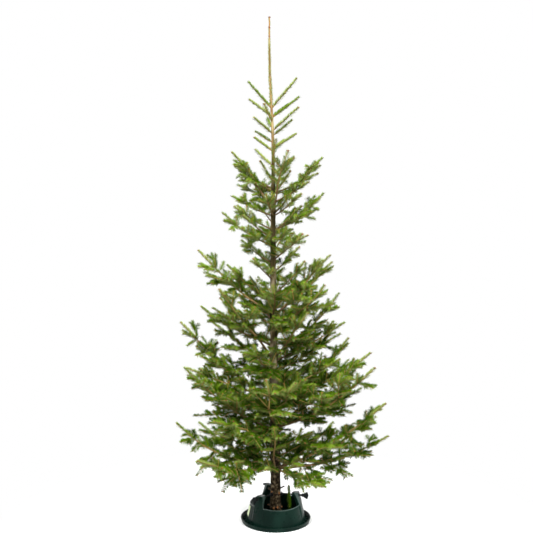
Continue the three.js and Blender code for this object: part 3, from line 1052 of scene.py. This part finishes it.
def make_screws(material):
    """A threaded shank with a pad at the trunk and a fan-shaped grip outside, for each clamping screw."""
    fan_reach = 0.0277
    half_fan = 36 * RAD
    pitch = 0.0022
    for node in ("screw_1", "screw_2", "screw_3"):
        points = points_of(node)
        away = np.hypot(points[:, 0], points[:, 1])
        far = points[away > away.max() - 0.004].mean(0)
        out = unit(far * [1, 1, 0])
        side = np.array([-out[1], out[0], 0])
        height = points[:, 2].min() / 2 + points[:, 2].max() / 2
        wing = points[away > away.max() - 0.012]
        flat = np.ptp(wing @ side) > np.ptp(wing[:, 2])
        wide, thin = (side, UP) if flat else (UP, side)
        start, end = away.min(), away.max()
        build = Build()
        grip = end - 0.0285
        count = 150
        x = np.linspace(start + 0.004, grip + 0.004, count)
        sides = 16
        turn = np.arange(sides) * 2 * math.pi / sides
        phase = (x[:, None] / pitch * 2 * math.pi + turn) % (2 * math.pi)
        threaded = ((x > start + 0.008) & (x < grip - 0.008))[:, None]
        radius = 0.0043 - 0.0007 * (0.5 + 0.5 * np.cos(phase)) * threaded
        line = out * x[:, None] + UP * height
        ring = np.cos(turn)[:, None] * side + np.sin(turn)[:, None] * UP
        vertices = line[:, None] + ring * radius[..., None]
        build.add(vertices.reshape(-1, 3), skin_faces(count, sides))
        pad = np.array([start, start + 0.0008, start + 0.0035, start + 0.0048])
        build.add(*tube(out * pad[:, None] + UP * height, [0.0080, 0.0090, 0.0090, 0.0060], 20))
        collar = np.array([grip - 0.002, grip - 0.001, grip + 0.005, grip + 0.008])
        build.add(*tube(out * collar[:, None] + UP * height, [0.0060, 0.0070, 0.0070, 0.0048], 20))
        outline = [(grip + 0.001, -0.0045)]
        for angle in np.linspace(-half_fan, half_fan, 19):
            reach = fan_reach + 0.0008 * (math.cos(angle * 9) - 1)
            outline.append((grip + reach * math.cos(angle), fan_reach * math.sin(angle)))
        outline.append((grip + 0.001, 0.0045))
        rings = []
        middle = np.array([grip + 0.014, 0])
        for depth, shrink in ((-0.0036, 0.90), (-0.0030, 0.97), (-0.0018, 1.0),
                              (0.0018, 1.0), (0.0030, 0.97), (0.0036, 0.90)):
            ring = middle + (np.array(outline) - middle) * shrink
            rings.append(ring[:, :1] * out + ring[:, 1:] * wide + depth * thin + UP * height)
        build.add(np.concatenate(rings), skin_faces(len(rings), len(outline), turned=True))
        for aside in (-0.0075, 0.0, 0.0075):
            for across in (-0.0036, 0.0036):
                rib = np.linspace(grip + 0.006, grip + 0.0245 - abs(aside) * 0.5, 5)
                fan = aside * np.linspace(0.45, 1.45, 5)
                line = rib[:, None] * out + UP * height + wide * fan[:, None] + across * thin
                build.add(*tube(line, [0.0004, 0.0009, 0.0010, 0.0009, 0.0004], 8))
        screw = build.make(node + "_threaded", [material])
        screw.data.set_sharp_from_angle(angle=40 * RAD)
        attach(screw, "root")
        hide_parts(node)


green = plastic("green_plastic", (0.0012, 0.0075, 0.0052), (0.0040, 0.0160, 0.0112), 0.27, 900, 0.07)
# A lighter green for the bucket's lip: a painted highlight along the rim.
rim_highlight_green = plastic("rim_plastic_painted_highlight", (0.016, 0.034, 0.028), (0.034, 0.062, 0.052), 0.22, 900, 0.5)
black = plastic("black_plastic", (0.0015, 0.0022, 0.0022), (0.004, 0.006, 0.006), 0.30, 1100, 0.13)
paper = plastic("label_paper", (0.50, 0.60, 0.34), (0.66, 0.74, 0.52), 0.55, 600, 0.3)
make_saucer(green)
make_bucket(green, rim_highlight_green)
make_label(paper)
make_screws(black)


# ---- Camera, floor and light ----
def floor_material():
    """Pale and matt round the stand, running out into plain white."""
    m = MaterialNodes("floor_white", 0.9, 0.1)
    m.shader.inputs["Base Color"].default_value = (0.9, 0.9, 0.9, 1)
    glow = m.add("ShaderNodeEmission")
    blend = m.add("ShaderNodeMixShader")
    m.link(m.distance_share(m.place, 0.35, 1.2), blend, "Fac")
    m.tree.links.new(m.shader.outputs["BSDF"], blend.inputs[1])
    m.tree.links.new(glow.outputs["Emission"], blend.inputs[2])
    m.link(blend.outputs["Shader"], m.tree.nodes["Material Output"], "Surface")
    return m.material


def make_stage():
    camera = bpy.data.cameras.new("camera")
    camera.sensor_width = 36
    camera.lens = camera.sensor_width / 2 * -EYE[1] / HALF_VIEW
    eye = bpy.data.objects.new("camera", camera)
    eye.location = EYE
    eye.rotation_euler = (90 * RAD, 0, 0)
    bpy.context.scene.collection.objects.link(eye)
    bpy.context.scene.camera = eye
    bpy.ops.mesh.primitive_plane_add(size=60, location=(0, 0, -0.0005))
    floor = bpy.context.object
    floor.name = "floor"
    floor.data.materials.append(floor_material())
    for name, place, aim, size, power in (
        ("key", (-1.9, -3.0, 3.6), (0, 0, 1.0), 1.5, 300),
        ("fill", (2.6, -2.4, 2.6), (0, 0, 1.0), 1.6, 150),
        ("rim", (0.4, 2.6, 3.6), (0, 0, 1.1), 1.8, 110),
    ):
        light = bpy.data.lights.new(name, "AREA")
        light.size = size
        light.energy = power
        lamp = bpy.data.objects.new(name, light)
        lamp.location = place
        toward = np.array(aim) - np.array(place)
        lamp.rotation_euler = (
            math.atan2(math.hypot(toward[0], toward[1]), -toward[2]), 0,
            math.atan2(toward[1], toward[0]) - math.pi / 2)
        bpy.context.scene.collection.objects.link(lamp)
    world = bpy.data.worlds.new("world")
    world.use_nodes = True
    world.node_tree.nodes["Background"].inputs["Color"].default_value = (1, 1, 1, 1)
    world.node_tree.nodes["Background"].inputs["Strength"].default_value = 1.0
    bpy.context.scene.world = world
    bpy.context.scene.view_settings.view_transform = "Standard"


make_stage()
